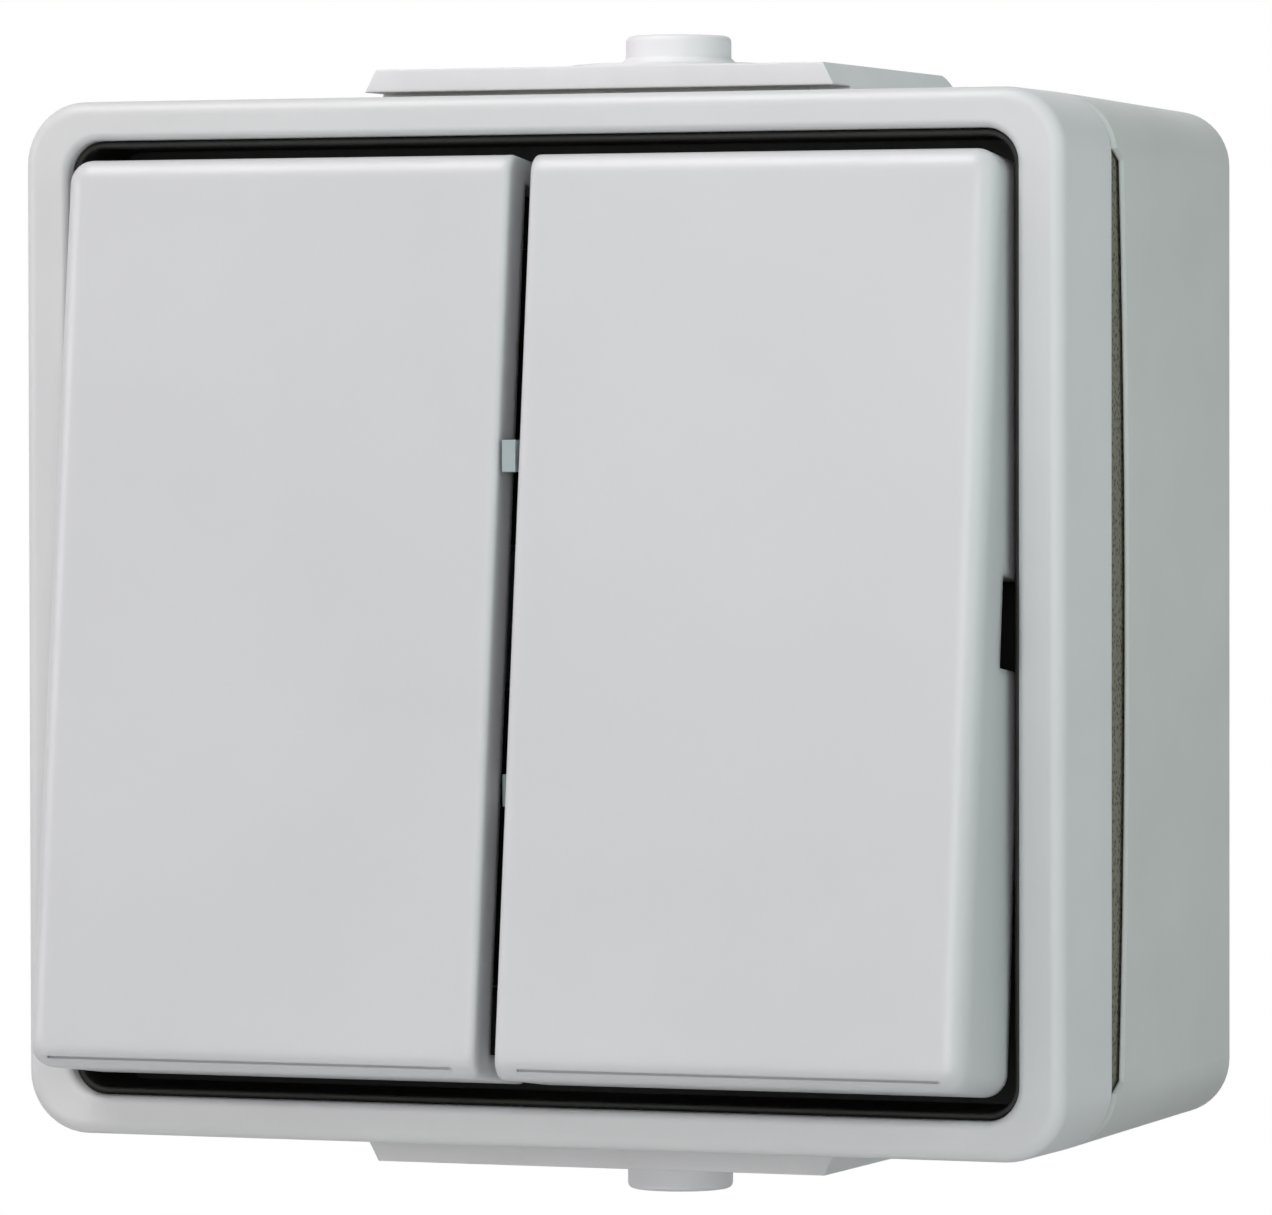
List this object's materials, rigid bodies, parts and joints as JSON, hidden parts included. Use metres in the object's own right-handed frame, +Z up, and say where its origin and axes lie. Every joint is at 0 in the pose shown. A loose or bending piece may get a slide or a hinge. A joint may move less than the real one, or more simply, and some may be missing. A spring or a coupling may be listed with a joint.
{
  "type": "two-way switch",
  "caption": "Surface-mounted splash-proof two-way switch: square grey wall box and frame, tall tilting rockers side by side in a black seal, cable entries at top and bottom.",
  "frame": {"origin": "centre of the rear box's back face, in the plane of the wall", "axes": "+Y into the wall, so the rockers face -Y; +Z up; +X to the right as seen from the front"},
  "size_m": [0.07, 0.0442, 0.0754],
  "materials": {
    "housing_plastic": "light grey moulded plastic, fine satin",
    "rocker_plastic": "light grey moulded plastic, smooth satin",
    "entry_plastic": "light grey soft plastic",
    "gasket_rubber": "grey-brown foam rubber",
    "seal_rubber": "black rubber",
    "membrane_rubber": "black silicone rubber",
    "carrier_plastic": "pale grey moulded plastic",
    "yoke_plastic": "natural white moulded plastic",
    "plunger_plastic": "white low-friction plastic",
    "spring_steel": "bright wire",
    "contact_brass": "rolled strip",
    "contact_silver": "silver alloy rivet",
    "base_plastic": "dark grey thermoset",
    "terminal_steel": "zinc-plated",
    "screw_steel": "zinc-plated"
  },
  "bodies": {
    "housing": {"rear_box": "housing_plastic", "front_cover": "housing_plastic", "housing_gasket": "gasket_rubber", "top_cable_entry": "entry_plastic", "bottom_cable_entry": "entry_plastic", "rocker_seal": "seal_rubber", "carrier": "carrier_plastic", "sealing_membrane": "membrane_rubber", "left_common_contact": "contact_brass", "right_common_contact": "contact_brass", "left_upper_contact": "contact_brass", "left_lower_contact": "contact_brass", "right_upper_contact": "contact_brass", "right_lower_contact": "contact_brass", "fixed_contact_tips": "contact_silver", "contact_base": "base_plastic", "terminal_cages": "terminal_steel", "terminal_screws": "screw_steel", "base_screws": "screw_steel", "cover_screws": "screw_steel"},
    "left_rocker_body": {"left_rocker": "rocker_plastic"},
    "left_yoke_body": {"left_yoke": "yoke_plastic", "left_plunger_spring": "spring_steel"},
    "left_plunger_body": {"left_plunger": "plunger_plastic"},
    "left_arm_body": {"left_contact_arm": "contact_brass", "left_arm_tips": "contact_silver"},
    "right_rocker_body": {"right_rocker": "rocker_plastic"},
    "right_yoke_body": {"right_yoke": "yoke_plastic", "right_plunger_spring": "spring_steel"},
    "right_plunger_body": {"right_plunger": "plunger_plastic"},
    "right_arm_body": {"right_contact_arm": "contact_brass", "right_arm_tips": "contact_silver"}
  },
  "joints": [
    {"name": "left_rocker_tilt", "type": "hinge", "parent": "housing", "child": "left_rocker_body", "pos_m": [-0.0157, -0.0366, 0], "axis": [1, 0, 0], "range_deg": [0, 13], "deforming": ["sealing_membrane"]},
    {"name": "left_yoke_tilt", "type": "hinge", "parent": "housing", "child": "left_yoke_body", "pos_m": [-0.0157, -0.0209, 0], "axis": [1, 0, 0], "range_deg": [0, 13]},
    {"name": "left_plunger_slide", "type": "slide", "parent": "left_yoke_body", "child": "left_plunger_body", "axis": [0, -0.9936, 0.1132], "range_m": [0, 0.0006], "stiffness_N_per_m": 600, "springref_m": -0.001, "deforming": ["left_plunger_spring"]},
    {"name": "left_arm_tilt", "type": "hinge", "parent": "housing", "child": "left_arm_body", "pos_m": [-0.0157, -0.01055, 0], "axis": [1, 0, 0], "range_deg": [-11, 0]},
    {"name": "right_rocker_tilt", "type": "hinge", "parent": "housing", "child": "right_rocker_body", "pos_m": [0.0157, -0.0366, 0], "axis": [1, 0, 0], "range_deg": [0, 13], "deforming": ["sealing_membrane"]},
    {"name": "right_yoke_tilt", "type": "hinge", "parent": "housing", "child": "right_yoke_body", "pos_m": [0.0157, -0.0209, 0], "axis": [1, 0, 0], "range_deg": [0, 13]},
    {"name": "right_plunger_slide", "type": "slide", "parent": "right_yoke_body", "child": "right_plunger_body", "axis": [0, -0.9936, 0.1132], "range_m": [0, 0.0006], "stiffness_N_per_m": 600, "springref_m": -0.001, "deforming": ["right_plunger_spring"]},
    {"name": "right_arm_tilt", "type": "hinge", "parent": "housing", "child": "right_arm_body", "pos_m": [0.0157, -0.01055, 0], "axis": [1, 0, 0], "range_deg": [-11, 0]}
  ],
  "couplings": [
    {"joint": "left_yoke_tilt", "follows": "left_rocker_tilt", "ratio": 1},
    {"joint": "left_arm_tilt", "follows": "left_rocker_tilt", "ratio": -0.84615},
    {"joint": "right_yoke_tilt", "follows": "right_rocker_tilt", "ratio": 1},
    {"joint": "right_arm_tilt", "follows": "right_rocker_tilt", "ratio": -0.84615}
  ]
}
